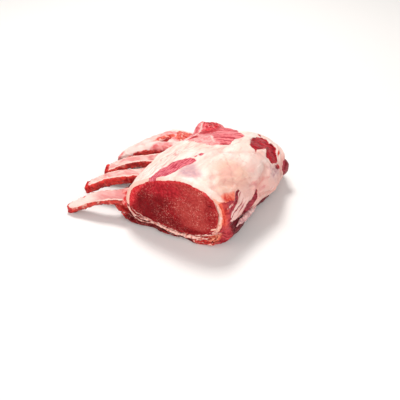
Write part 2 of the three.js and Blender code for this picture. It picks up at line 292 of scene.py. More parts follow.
def raise_surface(made, rise):
    """Moves each point along its normal, by millimetres."""
    normal = np.empty(len(made.data.vertices) * 3)
    made.data.vertices.foreach_get("normal", normal)
    moved = points_of(made) + normal.reshape(-1, 3) * rise[:, None]
    made.data.vertices.foreach_set("co", framed(moved).ravel())
    made.data.update()


def mark(made, **values):
    """Stores a number for each point, for the material to read."""
    for name, value in values.items():
        made.data.attributes.new(name, "FLOAT", "POINT").data.foreach_set("value", np.asarray(value, np.float32))


def paint(text):
    """A colour as the eye sees it, such as "c83c3c", as a linear one."""
    parts = [int(text[i : i + 2], 16) / 255 for i in (0, 2, 4)]
    return (*(c / 12.92 if c <= 0.04045 else ((c + 0.055) / 1.055) ** 2.4 for c in parts), 1)


class Nodes:
    """Adds nodes to a shader tree."""

    def __init__(self, tree):
        self.tree = tree

    def add(self, kind, inputs, **settings):
        """A node with its settings, and its inputs as numbers or as other nodes' outputs."""
        made = self.tree.nodes.new("ShaderNode" + kind)
        for name, value in settings.items():
            setattr(made, name, value)
        for name, value in inputs.items():
            if isinstance(value, bpy.types.NodeSocket):
                self.tree.links.new(value, made.inputs[name])
            else:
                made.inputs[name].default_value = value
        return made

    def calc(self, operation, first, second):
        return self.add("Math", {0: first, 1: second}, operation=operation).outputs[0]

    def times(self, first, second):
        return self.calc("MULTIPLY", first, second)

    def over(self, mask, below, above):
        """One colour laid over another where the mask is 1."""
        below, above = (paint(colour) if isinstance(colour, str) else colour for colour in (below, above))
        return self.add("Mix", {0: mask, 6: below, 7: above}, data_type="RGBA").outputs[2]

    def layers(self, base, *rows):
        """Colours laid over a base. Each row is a mask, then a colour or a finer mask and the two it mixes."""
        for mask, *above in rows:
            base = self.over(mask, base, self.over(*above) if len(above) == 3 else above[0])
        return base

    def span(self, value, low, high, to_low=0.0, to_high=1.0):
        """A soft step from one number to another between low and high."""
        inputs = {0: value, 1: low, 2: high, 3: to_low, 4: to_high}
        return self.add("MapRange", inputs, interpolation_type="SMOOTHSTEP").outputs[0]

    def noise(self, scale, detail=2.0, stretch=None, distortion=0.0):
        """Noise on the object's own coordinates, with lumps of about 1 / scale metres."""
        place = self.add("TexCoord", {}).outputs["Object"]
        if stretch is not None:
            place = self.add("Mapping", {"Vector": place, "Scale": stretch}).outputs[0]
        inputs = {"Vector": place, "Scale": scale, "Detail": detail, "Distortion": distortion}
        return self.add("TexNoise", inputs).outputs[0]

    def cloud(self, low, high, scale, detail=2.0, stretch=None, distortion=0.0, most=1.0):
        """That noise, stepped softly from 0 to most between low and high."""
        return self.span(self.noise(scale, detail, stretch, distortion), low, high, 0, most)

    def stored(self, name):
        """A number that was stored on the mesh under that name."""
        return self.add("Attribute", {}, attribute_name=name).outputs["Fac"]

    def ramp(self, name, low, high, most=1.0):
        """That number, stepped softly from 0 to most between low and high."""
        return self.span(self.stored(name), low, high, 0, most)

    def torn(self, name, tear=1.0, softness=0.5, scale=300.0):
        """The ragged mask of a depth that was stored on the mesh under that name."""
        inputs = {"Depth": self.stored(name), "Tear": tear, "Softness": softness, "Scale": scale}
        return self.add("Group", inputs, node_tree=ragged_edge).outputs["Mask"]


def new_group(name, inputs, outputs):
    """A shader group with named number inputs and outputs. Returns its nodes and the inside of both ends."""
    tree = bpy.data.node_groups.new(name, "ShaderNodeTree")
    for label, value in inputs.items():
        tree.interface.new_socket(label, in_out="INPUT", socket_type="NodeSocketFloat").default_value = value
    for label in outputs:
        tree.interface.new_socket(label, in_out="OUTPUT", socket_type="NodeSocketFloat")
    return Nodes(tree), tree.nodes.new("NodeGroupInput").outputs, tree.nodes.new("NodeGroupOutput").inputs


def ragged_edge_group():
    """A mask that is 1 where a depth in millimetres is above zero, with a torn, uneven edge."""
    n, given, result = new_group("ragged edge", {"Depth": 0, "Tear": 1, "Softness": 0.5, "Scale": 300}, ["Mask"])
    rough = n.calc("SUBTRACT", n.noise(given["Scale"], 3), 0.5)
    depth = n.calc("ADD", given["Depth"], n.times(rough, given["Tear"]))
    mask = n.span(depth, n.times(given["Softness"], -1), given["Softness"])
    n.tree.links.new(mask, result["Mask"])
    return n.tree


def moist_meat_group():
    """Fine relief and uneven wetness of cut or skinned meat: a height for a bump, and a roughness."""
    n, given, result = new_group("moist meat", {"Scale": 500, "Dry": 0.5, "Wet": 0.25}, ["Height", "Roughness"])
    coarse = n.noise(n.times(given["Scale"], 0.3), 2)
    height_out = n.calc("ADD", n.noise(given["Scale"], 3), n.times(coarse, 1.5))
    wetness = n.span(n.noise(n.times(given["Scale"], 0.15), 3), 0.35, 0.65)
    roughness = n.add("MapRange", {0: wetness, 1: 0.0, 2: 1.0, 3: given["Dry"], 4: given["Wet"]}).outputs[0]
    n.tree.links.new(height_out, result["Height"])
    n.tree.links.new(roughness, result["Roughness"])
    return n.tree


ragged_edge = ragged_edge_group()
moist_meat = moist_meat_group()


def flesh(name, colour_of, shine, scale=500.0, dry=0.5, wet=0.25, bump=0.0004, depth=0.1):
    """A moist, slightly translucent material. colour_of adds the colour's nodes to the tree."""
    material = bpy.data.materials.new(name)
    material.use_nodes = True
    n = Nodes(material.node_tree)
    n.tree.nodes.clear()
    surface = n.add("Group", {"Scale": scale, "Dry": dry, "Wet": wet}, node_tree=moist_meat).outputs
    bumped = n.add("Bump", {"Height": surface["Height"], "Distance": bump, "Strength": 0.5})
    inputs = {
        "Base Color": colour_of(n),
        "Roughness": surface["Roughness"],
        "Normal": bumped.outputs["Normal"],
        "Specular IOR Level": shine,
        "Subsurface Weight": depth,
        "Subsurface Radius": (1.0, 0.35, 0.25),
        "Subsurface Scale": 0.0015,
    }
    n.add("OutputMaterial", {"Surface": n.add("BsdfPrincipled", inputs).outputs[0]})
    return material


def eye_colour(n):
    fine = n.cloud(0.3, 0.7, 420, 3, distortion=0.5)
    # Pale flecks: partly marbling fat, and partly painted highlights of the wet cut.
    flecks = n.cloud(0.58, 0.68, 800, 4, distortion=0.8, most=0.75)
    flecks = n.calc("MAXIMUM", flecks, n.cloud(0.61, 0.67, 380, distortion=2.2, most=0.7))
    sparse = n.span(n.noise(75, 3), 0.38, 0.62, 0.15, 1)
    return n.layers(
        n.over(fine, "7e0c14", "981a20"),
        (n.ramp("core", 0.1, 0.9), fine, "66070e", "811016"),
        (n.ramp("brick", 0.1, 0.9, 0.8), fine, "a23430", "b84842"),
        (n.torn("crimson", 3, 4.5, 160), fine, "8c101a", "b82630"),
        (n.torn("rim", 4, 3.5, 300), fine, "bc1622", "de4044"),
        (n.times(flecks, n.times(sparse, n.stored("flecked"))), "e69486"),
        # painted shade of a crack
        (n.torn("crease", 0.9, 0.4, 500), "7c141a"),
        (n.torn("pale", 1.6, 0.6, 400), "f0b8a4"),
        # painted shade in the notches
        (n.torn("notch", 1.0, 0.7, 400), "5a0c12"),
    )


eye_columns, eye_rows, cut_rings = 330, 16, 56
outline, along = even_outline(eye_outline, eye_columns), stations(eye_rows)
side = carried(outline, along, eye_slimming(along))
shares = np.linspace(0.02, 0.985, cut_rings)[:, None, None]


def cut_face(edge, along, direction):
    """Rings over a slightly domed cut, from its middle out to its edge."""
    inner = drawn_in(edge, shares)
    inner[..., 1] = cornered(inner[..., 0], along) + direction * face_dome * (1 - shares[..., 0] ** 6)
    return inner


rings = np.concatenate([cut_face(side[0], 0.0, -1), side, cut_face(side[-1], loin_length, 1)[::-1]])
material = flesh("cut_loin", eye_colour, shine=0.05, scale=700, dry=0.6, wet=0.35, depth=0.05)
made = piece("eye_of_loin", closed_rings(rings), "loin_eye", material)
depth = (1 - shares[..., 0]) * np.linalg.norm(side[0] - side[0].mean(0), axis=1)
edge = for_rings(np.concatenate([depth, 0 * side[..., 0], depth[::-1]]), rings, at_ends=(40, 40))
place = points_of(made)
flat = stacked(place[:, 0], place[:, 2] / height(place[:, 1]))
across, up = flat.T
# A thin crack on the right of the cut: its dark line is painted shade, and the surface has no dent there.
crease = [(8, 61, 0.1), (12, 58, 0.35), (13, 52, 0.3), (12, 45, 0.35), (10, 37, 0.2), (8, 31, 0.3), (10, 24, 0.1)]
# Two small notches: each dented a little, and painted dark as the shade inside it.
notches = [(13.5, 49, 0.2), (16, 49, 0.6), (18, 47, 0.3)], [(14, 15, 0.1), (18, 18, 0.4), (22, 20, 0.3)]
pale_seam = [(24, 33, 0.2), (23.6, 27, 0.8), (21.5, 22, 0.9), (17, 21, 0.9)]
notch, pale = deepest(flat, *notches), in_band(flat, pale_seam)
rise = grains(place, (0.3, 7, 1), (0.25, 3, 2), (0.12, 1.6, 3))
rise = rise - 0.6 * ease(-0.8, 0.6, notch) + 0.5 * ease(-0.8, 0.8, pale)
raise_surface(made, rise * ease(0.0, 2.5, edge))
core = 0.25 * grain(place, 9, 4) + humps(
    flat, (1, (-52, 28), (17, 17)), (0.8, (-40, 42), (16, 12)), (0.85, (-34, 16), (22, 9)),
    (0.6, (2, 13), (22, 5)), (0.5, (12, 38), (5, 7)),
)
brick = ease(-34, -8, across + 0.4 * (up - 35)) * ease(12, 22, up)
brick = brick * (0.8 + 0.3 * grain(place, 14, 5)) * (1 - 0.6 * ease(7, 16, across))
left = ease(-48, -66, across) * ease(18, 30, up)
rim = (7.5 * left + 2.0 * ease(52, 62, up)) * ease(14, 24, up) - edge
mark(
    made, core=core, brick=brick, rim=rim, crease=in_band(flat, crease), notch=notch, pale=pale,
    crimson=humps(flat, (11, (-36, 56), (30, 12))) - 5, flecked=np.clip(1.1 - 0.5 * core, 0.3, 1),
)

# The fat cover: a coat of firm cream fat over the eye, thick on the backbone side, a thin white sheet under it.
# It is part of the meat as it grew. Lean shows through where the knife or the fat is thin.
# Patches are drawn on the fat as if it were unrolled: round, from the eye's left end over the top, and along.
seam = 0.05  # between the eye and the fat
cover_top, cover_left, cover_right, cover_under = 3.0, 3.5, 8.0, 2.0
cover_skirt = 5.0  # how much thicker the cover gets low on the backbone side
front_edge, back_edge = 1.6, 7.0  # how far it rounds over at the cuts
fat_columns, fat_rows, inner_rows = 380, 170, 24
fine_columns = 720  # enough to measure the girth
fascia_rows, fascia_proud = 150, 0.9
strip_rows, strip_columns = 110, 24
streaks = [
    [
        (48, -2), (48.5, 6), (50, 12), (50.6, 18), (54, 24.5), (58.6, 29.5), (64, 33), (69, 37), (74, 38), (80, 36.5),
        (83.5, 33), (79.8, 28.5), (77, 22.5), (74, 17.3), (69, 11), (65, 5), (59, 1.5), (54, -2),
    ],
    [(77, 39.5), (78.5, 42), (81, 40), (80, 38)],
    [(79.5, 43), (80.5, 48), (84, 47), (84, 43), (82, 42)],
]
windows = [
    [
        (101, 106), (98.5, 116), (99.5, 128), (102, 135), (105, 138), (109, 134), (112, 125), (113.5, 112), (113, 100),
        (111, 92), (108, 92), (104, 97),
    ],
    [
        (111, 117), (109, 130), (112, 136), (116, 138), (119, 134), (124, 130), (127, 130), (127.5, 118), (126.5, 104),
        (125, 96), (122, 99), (120, 95), (118, 101), (115, 111),
    ],
    [(128.5, 109), (128.8, 128), (134, 131), (133.5, 118), (131, 108)],
    [(95, 141), (92, 149), (98, 143), (99, 136)],
    [(112, 86), (111, 95), (112.3, 94), (113.2, 86)],
]
threads = [
    [
        (126, 24), (128, 26), (132, 21), (135, 17), (137, 12), (139, 8), (140, 2), (137, 1), (135, 4), (135, 9),
        (132, 14), (129, 18),
    ],
    [
        (139, 54), (141, 57), (146, 53), (149, 50), (152, 45), (153, 39), (153.5, 32), (153, 27), (149, 29),
        (146, 33), (145, 38), (145, 44), (142, 48),
    ],
    [(136, 29, 0.3), (140, 25, 0.6), (141, 19, 0.7), (141.5, 12, 0.8), (143.5, 8, 0.6), (147, 4, 0.3)],
    [(153, 49, 0.4), (154, 38, 0.9), (154.5, 31, 0.9), (154.5, 22, 0.7), (152.5, 10, 0.9), (151, 5, 0.6)],
]
brown_mark = [(117.5, 142, 0.6), (121, 138, 1.2), (123, 133, 0.5)]
blush_outline = [
    (76, 23), (80, 28), (85, 28), (90, 23), (96, 17), (99, 12), (97, 7), (92, 5), (87, 4), (80, 7), (76, 15),
]
dusky_outline = [(127, 86), (127, 100), (129, 112), (134, 127), (140, 121), (141, 100), (139, 88), (132, 82)]
thin_fat_outline = [
    (121.5, 2), (122, 6), (123, 9), (125, 15), (126.5, 19), (129, 18), (133, 14), (133.5, 8), (131, 3), (129, 1),
    (124, 1),
]
strand_outline = [(128, 27), (136, 30), (141, 40), (150, 30), (154, 20), (152, 5), (143, -2), (139, 6), (134, 18)]
# Each crease is pressed into the fat, and painted shade darkens the fat along it.
creases = [  # each a spine, how deep it is and how wide
    ([(126, 82, 0.6), (131, 70, 0.9), (136, 61, 1.0), (141, 55, 0.6)], 1.6, 2.6),
    ([(146, 59, 0.3), (149, 71, 0.4), (153, 84, 0.4), (153, 100, 0.2)], 1.4, 1.6),
    ([(104, 12, 0.2), (108, 22, 0.3), (112, 30, 0.3), (118, 36, 0.1)], 0.7, 1.8),
    ([(112, 4, 0.2), (117, 16, 0.3), (121, 30, 0.3), (124, 44, 0.2)], 0.8, 2.2),
    ([(104, 24, 0.2), (107, 16, 0.3), (110, 9, 0.4), (115, 4, 0.3), (121, 2, 0.2)], 0.9, 1.6),
    ([(122, 22, 0.2), (127, 36, 0.3), (131, 50, 0.3), (133, 58, 0.1)], 0.7, 1.6),
    ([(96, 60, 0.2), (104, 74, 0.3), (110, 84, 0.3), (114, 92, 0.1)], 0.8, 2.4),
    ([(60, 52, 0.2), (52, 38, 0.3), (46, 22, 0.3), (43, 8, 0.1)], 0.6, 1.5),
    ([(117, 145, 0.1), (121, 144, 0.3), (126, 142, 0.4), (133, 140, 0.4), (142, 139, 0.3), (146, 130, 0.1)], 1.4, 1.8),
    ([(52, 70, 0.2), (44, 50, 0.3), (38, 28, 0.3), (34, 10, 0.1)], 0.7, 1.8),
]
vessels = [  # thin pink veins under the surface of the fat
    [(124, 18, 0.1), (120, 27, 0.3), (115, 34, 0.3), (110, 41, 0.4), (103, 52, 0.2), (97, 57, 0.1)],
    [(126, 18, 0.1), (125, 26, 0.4), (123, 33, 0.3), (124, 42, 0.3), (127, 53, 0.1)],
    [(117, 15, 0.1), (115, 22, 0.2), (120, 27, 0.4), (126, 28, 0.2)],
    [(58, 48, 0.1), (64, 50, 0.3), (69, 50, 0.4), (77, 58, 0.4), (84, 65, 0.1)],
    [(49, 18, 0.1), (51, 32, 0.5), (55, 44, 0.6), (57, 57, 0.5), (62, 69, 0.2), (66, 80, 0.1)],
    [(54, 37, 0.1), (58, 48, 0.5), (65, 58, 0.6), (71, 68, 0.3), (80, 76, 0.1)],
    [(116, 65, 0.1), (112, 63, 0.3), (107, 69, 0.3), (102, 83, 0.1)],
    [(44, 6, 0.1), (44, 24, 0.4), (47, 42, 0.4), (50, 60, 0.3), (54, 78, 0.1)],
    [(88, 62, 0.1), (95, 74, 0.3), (97, 90, 0.3), (94, 106, 0.1)],
    [(126, 9, 0.1), (127, 16, 0.4), (126, 23, 0.2)],
    [(136, 62, 0.1), (134, 74, 0.4), (136, 86, 0.3), (141, 100, 0.1)],
]
# The thin sheet under the eye is torn into strands at the front cut. Each is drawn as across, up and half width.
fascia = [
    [
        (-77, 19, 0.8), (-75, 14.5, 1.1), (-70, 11, 0.9), (-63, 9.4, 0.7), (-56, 9.8, 0.7), (-49, 9.4, 0.9),
        (-42, 8.2, 1.2), (-34, 6.5, 1.4), (-26, 5.7, 1.5), (-18, 5.5, 1.6), (-11, 6.2, 1.9), (-3, 7.4, 1.9),
        (4, 8.8, 1.5), (10, 9.4, 1.1), (15, 10.4, 0.6),
    ],
    [(-74, 20, 0.4), (-69, 15.6, 0.6), (-62, 13.4, 0.5), (-56, 12.6, 0.6), (-50, 11, 0.5), (-44, 9, 0.3)],
    [(-74, 12, 0.4), (-69, 8, 0.6), (-64, 6, 0.5), (-58, 6.2, 0.5), (-52, 8, 0.7), (-46, 8.6, 0.4)],
    [(-68, 12.4, 0.3), (-61, 11.4, 0.4), (-54, 11, 0.4), (-47, 8.6, 0.4)],
    [(-12, 5.6, 0.5), (-5, 5.4, 0.8), (2, 6.4, 0.9), (8, 7.4, 0.7), (13, 9, 0.4)],
]
# A loose strip of fat rolls over at the lower edge of the flank.
rolled_strip = [
    (35.5, 60, 17.5, 1.2), (35.5, 54, 18, 2.4), (35, 47, 19, 3.0), (35, 39, 19.5, 3.3), (34.5, 32, 19, 2.8),
    (33.5, 26, 17.5, 1.8), (32.5, 23, 16, 1.0),
]


def lumps(place):
    """The low soft lumps that the CAD fat and meat have too."""
    x, y, z = np.moveaxis(place, -1, 0)
    long = np.sin(0.071 * x + 0.9) * np.sin(0.058 * y + 0.4) + 0.6 * np.sin(0.11 * y - 0.07 * z + 2.1)
    short = np.sin(0.19 * x + 0.13 * z + 1.3) * np.sin(0.17 * y + 0.6) + 0.5 * np.sin(0.31 * y + 0.21 * x)
    return 0.8 * long + 0.45 * short


def edge_drop(along, front, back):
    """How far a surface draws in as it rounds over towards the cuts."""
    near = np.clip(front - along, 0, front)
    far = np.clip(along - (loin_length - back), 0, back)
    return front - np.sqrt(front**2 - near**2) + back - np.sqrt(back**2 - far**2)


def cover_surface(outline, along, reach=0.0):
    """The outside of the fat, moved outward by a reach."""
    out_across, out_up = outline[:, 2], outline[:, 3]
    thick = cover_under + (cover_top - cover_under) * np.maximum(out_up, 0)
    thick = thick + (cover_left - cover_under) * np.maximum(-out_across, 0)
    thick = thick + (cover_right - cover_under) * np.maximum(out_across, 0) ** 2
    low_right = np.where(out_across > 0, np.maximum(-2 * out_across * out_up, 0), 0)
    notch = 0.7 * bell(along, 72, 18) + 0.3 * ease(80, 100, along)
    thick = thick + cover_skirt * low_right * (ease(16, 60, along) - notch)
    lump = lumps(carried(outline, along, thick)) * ease(-0.6, 0.2, out_up)
    return carried(outline, along, thick + reach + lump - edge_drop(along, front_edge, back_edge))


def round_places(count):
    """Places round the unrolled fat for the even points of an outline."""
    outline = even_outline(eye_outline, fine_columns)
    girth = np.linalg.norm(outline[:, :2] - np.roll(outline[:, :2], 1, 0), axis=1).sum()
    return np.linspace(0, girth, count, endpoint=False)


def on_front(path, proud):
    """A path drawn on the front cut as across, up and half width, set proud of the cut."""
    across, up, half = np.array(path, float).T
    return stacked(across, cornered(across, 0.0) - proud, up, half)


def smooth_path(points, count):
    """A rounded path through points that carry a radius, as even rows."""
    points = np.array(points, float)
    length = lengths(points[:, :3])
    path = at_places(np.linspace(0, length[-1], count), length, points)
    for _ in range(2 * count // len(points)):
        path[1:-1] = (path[:-2] + 2 * path[1:-1] + path[2:]) / 4
    return path


def strand(points, count, columns=12, *, seed):
    """A knobbly strand along a path, as a closed body that tapers at both ends."""
    path = smooth_path(points, count)
    way = np.gradient(path[:, :3], axis=0)
    side = unit(np.cross(way, (0, 1, 0)))
    lift = unit(np.cross(side, way))
    turn = np.linspace(0, 2 * math.pi, columns, endpoint=False)[:, None]
    share = np.linspace(0, 1, count)
    radius = path[:, 3] * np.sqrt(np.sin(math.pi * np.clip(share, 0.004, 0.996)) ** 0.5)
    radius = radius * (1 + 0.45 * grain(path[:, :3], 3, seed))
    path[:, :3] += 0.6 * stacked(*(grain(path[:, :3], 4, seed + k) for k in (10, 20, 30)))
    ring = path[:, None, :3] + radius[:, None, None] * (np.cos(turn) * side[:, None] + np.sin(turn) * lift[:, None])
    return closed_rings(ring)


def joined(*bodies):
    """Several bodies' points and faces as one."""
    points, faces = [], []
    for body_points, body_faces in bodies:
        start = sum(len(part) for part in points)
        faces += [[i + start for i in face] for face in body_faces]
        points.append(body_points)
    return np.concatenate(points), faces


def fat_colour(n):
    fine = n.cloud(0.36, 0.64, 240, 4, distortion=0.8)
    fibre = n.ramp("fibres", -0.5, 0.5)
    strands = n.stored("strands")
    return n.layers(
        n.over(n.cloud(0.35, 0.65, 45, 4, (1.3, 0.6, 1.0)), "f0e4da", "eacdc1"),
        (n.ramp("warm", 0, 1), "e2b5a3"),
        # the flank: pinker fat, and painted shade of the side that turns from the key light
        (n.ramp("flank", 0, 1), "d8a99f"),
        (n.ramp("grey", 0.1, 1, 0.8), "cfaea6"),
        (n.cloud(0.46, 0.7, 75, 5, (1.6, 0.5, 1.0), 0.4, 0.5), "dfa69c"),
        (n.cloud(0.56, 0.68, 110, 4, (1.3, 0.6, 1.2), 0.6, 0.25), "f8ece6"),
        (n.times(n.cloud(0.54, 0.66, 150, 4, (1.5, 0.35, 1.2), 0.8, 0.65), n.stored("veins")), "cf8886"),
        (n.times(n.torn("vessel", 2.6, 1.2, 300), 0.55), "c9847e"),
        # painted shade along the creases, and over all of the rolled strip
        (n.ramp("creased", 0.1, 1, 0.55), "c88a80"),
        (n.ramp("edge", 0, 1, 0.8), "f4bdac"),
        (n.ramp("sheet", 0, 1), n.cloud(0.48, 0.66, 260, 3), "f2c2b4", "cc6e62"),
        (n.times(n.stored("lean"), n.cloud(0.42, 0.52, 200, 3)), "962c30"),
        (n.torn("blush", 5, 4.0, 150), fine, "c49aa0", "d4a8a8"),
        (n.torn("dusky", 6, 4.0, 220), fine, "b8868a", "dab4ae"),
        (n.torn("orange", 4, 2.0, 260), n.cloud(0.35, 0.65, 260, 3), "cf3c30", "e8806a"),
        (n.span(strands, 0.12, 0.5), "e2b8b0"),
        (n.span(strands, -0.1, -0.45), "aa5660"),
        (n.torn("streak", 1.6, 0.45, 350), fibre, "ae2c42", "de7680"),
        (n.torn("window", 3.0, 0.6, 420), fibre, "820a16", "ba222e"),
        (n.torn("thread", 1.2, 0.35, 420), fibre, "701420", "a43642"),
        (n.torn("mark", 1.2, 0.4, 420), "cc4630"),
    )


# The body: a rim at each cut, the outside and the inside against the eye. The rim at the front laps over the eye.
outline, along = even_outline(eye_outline, fat_columns), stations(fat_rows)
outside = cover_surface(outline, along)
inner_along = along[:: fat_rows // inner_rows]
inner = carried(outline, inner_along, eye_slimming(inner_along) + seam)
rim_share = np.array([0.08, 0.25, 0.5, 0.75, 0.92])[:, None, None]
uneven = np.clip(0.4 + grains(inner[0], (1, 6, 59), (0.5, 2.5, 60)), 0, 1)[:, None]
overlap = 0.9 * uneven / np.linalg.norm(outside[0] - inner[0], axis=1, keepdims=True)
rim = inner[0] + (outside[0] - inner[0]) * (rim_share - overlap * (1 - rim_share))
beside = round_places(fat_columns)
at_side_muscle = ease(117, 125, beside) * ease(158, 150, beside)
proud = (0.5 + 0.5 * uneven[:, 0]) * (1 + 0.3 * at_side_muscle)
rim[..., 1] -= proud * np.sqrt(np.sin(math.pi * rim_share[..., 0]))
back_rim = outside[-1] + (inner[-1] - outside[-1]) * rim_share
rings = np.concatenate([rim, outside, back_rim, inner[::-1]])
body = rings.reshape(-1, 3), ring_faces(len(rings), fat_columns, joined=True)
strip = strand(rolled_strip, strip_rows, strip_columns, seed=90)
sheet_strands = [strand(on_front(path, fascia_proud), fascia_rows, seed=30 + i) for i, path in enumerate(fascia)]
material = flesh("loin_fat", fat_colour, shine=0.12, scale=350, wet=0.3, bump=0.0006)
made = piece("fat_cover", joined(body, *sheet_strands, strip), "fat_cap", material)
place = points_of(made)
index = np.arange(len(place))
on_strand, on_strip = index >= len(body[0]), index >= len(place) - len(strip[0])


def for_all(values):
    """Values for the body's points, and 0 for the strands' points."""
    return np.append(values, np.zeros(on_strand.sum()))


rows = np.concatenate([np.zeros(len(rim)), along[:, 0], np.full(len(rim), loin_length), inner_along[::-1, 0]])
rounds, rows = for_all(np.tile(beside, len(rings))), for_all(np.repeat(rows, fat_columns))
shown = for_all(np.repeat(np.arange(len(rings)) < len(rim) + fat_rows, fat_columns))
loose = for_all(np.tile(ease(-0.8, -0.2, outline[:, 3]), len(rings)))
at_rim, hidden = rows < 0.5, 9 * (1 - shown)
flat = stacked(rounds, rows)
wobble = flat + 1.2 * stacked(grain(flat, 5, 40), grain(flat, 5, 41))
streak, window, thread = deepest(wobble, *streaks), deepest(wobble, *windows), deepest(wobble, *threads)
slant = flat @ [[0.9, -0.42], [0.42, 0.9]]
strands = 1.6 * grain(slant, (2.8, 18), 42) + 0.35
strands = strands * ease(-2, 2.5, inside(flat, strand_outline) + 1.5 * grain(flat, 6, 43))
fibres = grain(flat @ [[1, 0], [-0.25, 1]], (1.6, 7), 44) + 0.7 * grain(flat, 1.6, 45)
# Painted shade: a patch near the back cut, then a band along each crease.
creased = humps(flat, (0.8, (124, 144), (11, 9)))
rise = 0.4 * strands + grains(place, (0.9, (14, 22, 12), 4), (0.4, (5, 9, 5), 5), (0.2, 2.2, 6)) + humps(
    flat, (0.9, (143, 84), (9, 16)), (1.2, (116, 13), (6, 8)), (3.5, (18, 60), (16, 24)), (2.5, (124, 148), (9, 7)),
)
for spine, deep, wide in creases:
    depth = in_band(wobble, spine)
    fold = bell(np.minimum(depth, 0), 0, wide)
    creased = creased + fold * deep / 1.6
    rise = rise - deep * fold + 0.5 * deep * bell(depth, -2.2 * wide, wide)
for depth, deep in ((streak, 0.7), (window, 1.2), (thread, 0.6)):
    within = ease(-0.6, 1.4, depth)
    rise = rise - deep * within + 0.35 * deep * bell(depth, -1.6, 1.2) + 0.35 * within * fibres
rough = 0.6 * grain(place, 2.6, 57) + 0.9 * grain(place, (6, 5, 3), 58) * on_strip
raise_surface(made, rise * shown * loose * ease(-0.5, 4, rows) + rough * at_rim)
warm = 0.3 * grain(place, 22, 7) + humps(
    flat, (1, (112, 40), (14, 20)), (0.9, (118, 24), (9, 22)), (0.5, (128, 40), (10, 30)),
    (0.45, (36, 56), (18, 34)), (0.75, (76, 60), (13, 13)),
)
# The backbone-side flank and the rolled strip: pinker fat, and painted shade where the side turns from the key light.
flank = ease(118, 140, rounds) * ease(172, 160, rounds) + 0.25 * grain(place, 16, 8)
under_eye = ease(156, 164, rounds)
mark(
    made, streak=streak - hidden, window=window - hidden, thread=thread - hidden, strands=strands * shown,
    fibres=fibres, warm=warm * shown, flank=np.where(on_strip, 1.0, flank * shown),
    grey=humps(flat, (1, (124, 64), (9, 14)), (1, (118, 86), (9, 13))) + 0.2 * grain(place, 14, 9),
    veins=0.3 + humps(flat, (1, (48, 40), (16, 36))) + flank, vessel=deepest(wobble, *vessels) - hidden,
    creased=creased * shown + 0.8 * on_strip,
    edge=ease(3.0, 0.3, rows) * (1 - 0.8 * ease(60, 76, rounds) * ease(150, 130, rounds)),
    sheet=np.where(at_rim & ~on_strip, under_eye + on_strand, 0),
    lean=under_eye * at_rim + 0.4 * ease(-35, -55, place[:, 0]) * on_strand,
    orange=inside(wobble, thin_fat_outline) - hidden, blush=inside(wobble, blush_outline) - hidden,
    dusky=np.where(on_strip, 4.0, inside(wobble, dusky_outline) - hidden), mark=in_band(flat, brown_mark) - hidden,
)

# The side muscle: a thin muscle on the backbone side. It shows as an orange-red band at the front cut and lies
# bare round the corner, until the fat runs over it in pale strands.
cream_line, overlap_under = 2.0, 0.4  # fat between it and the eye, and how far it reaches into that
side_from, side_to, side_length = 118.0, 160.0, 36.0  # round and along the unrolled fat
side_step, side_cut_rows = 0.6, 12
bare_outline = [
    (126, -4), (127, 0.5), (128, 4), (129.3, 8), (132, 12), (136, 12.5), (139, 8), (141, 4.5), (144, 3.5), (148, 6),
    (153, 12), (158, 16), (162, 10), (162, -4),
]


def side_colour(n):
    fibre = n.ramp("fibres", -0.5, 0.5)
    return n.layers(
        n.over(fibre, "861824", "b43a44"),
        # painted shade over the lower part along the flank
        (n.ramp("low", 0.2, 0.9), fibre, "4e1218", "7c2a30"),
        (n.torn("band", 3.5, 2.0, 250), fibre, "b0241e", "e0604a"),
        (n.torn("pale", 3.0, 0.8, 260), "eea890"),
    )


rounds = np.arange(side_from, side_to, side_step)
line = at_places(rounds, round_places(fine_columns), even_outline(eye_outline, fine_columns))
along = np.concatenate([[0.0], np.geomspace(0.4, 4, 10), np.arange(4.6, side_length, side_step)])[:, None]
flat = stacked(rounds, along).reshape(-1, 2)
depth = inside(flat, bare_outline) + grains(flat, (1.3, 2.6, 46), (0.8, 6, 47))
ends = ease(side_from, side_from + 4, rounds) * ease(side_to, side_to - 3, rounds)
proud = (-2.6 + 3.2 * ease(-2.2, 1.2, depth)).reshape(len(along), -1) - 2 * (1 - ends)
outer = cover_surface(line, along, proud)
inner = carried(line, along, cream_line - overlap_under)
share = np.linspace(0, 1, side_cut_rows)[:-1, None, None]
front = inner[:1] + (outer[:1] - inner[:1]) * share
front[..., 1] -= (0.5 + 1.1 * np.sqrt(np.sin(math.pi * share[..., 0]))) * ends
outer[0, :, 1] -= 0.5 * ends
back = np.repeat(inner[:1], len(share), 0)
rings = np.concatenate([np.concatenate([front, outer]), np.concatenate([back, inner])[:, ::-1]], 1)
made = piece("side_muscle_meat", closed_rings(rings), "side_muscle", flesh("side_lean", side_colour, shine=0.15))
place = points_of(made)
rows = for_rings(np.append(np.linspace(-8, 0, len(share)), along)[:, None], rings)
beside = for_rings(np.append(rounds, rounds[::-1]), rings)
slant = stacked(beside + 0.4 * rows, rows)
fibres = np.where(rows > 0, grain(slant, (1.5, 9), 48), grain(slant, (9, 1.5), 48)) + 0.5 * grain(slant, 1.7, 49)
raise_surface(made, 0.3 * fibres + 0.4 * grain(place, (4, 8, 4), 50))
# low is painted shade over the lower part of the muscle, along the flank.
mark(
    made, fibres=fibres, low=ease(142, 154, beside) * ease(-1, 5, rows),
    band=np.minimum(0.0 - rows, 0.3 * (152 - beside)), pale=np.maximum(-rows - 5.2, 1.2 * (126.5 - beside)),
)

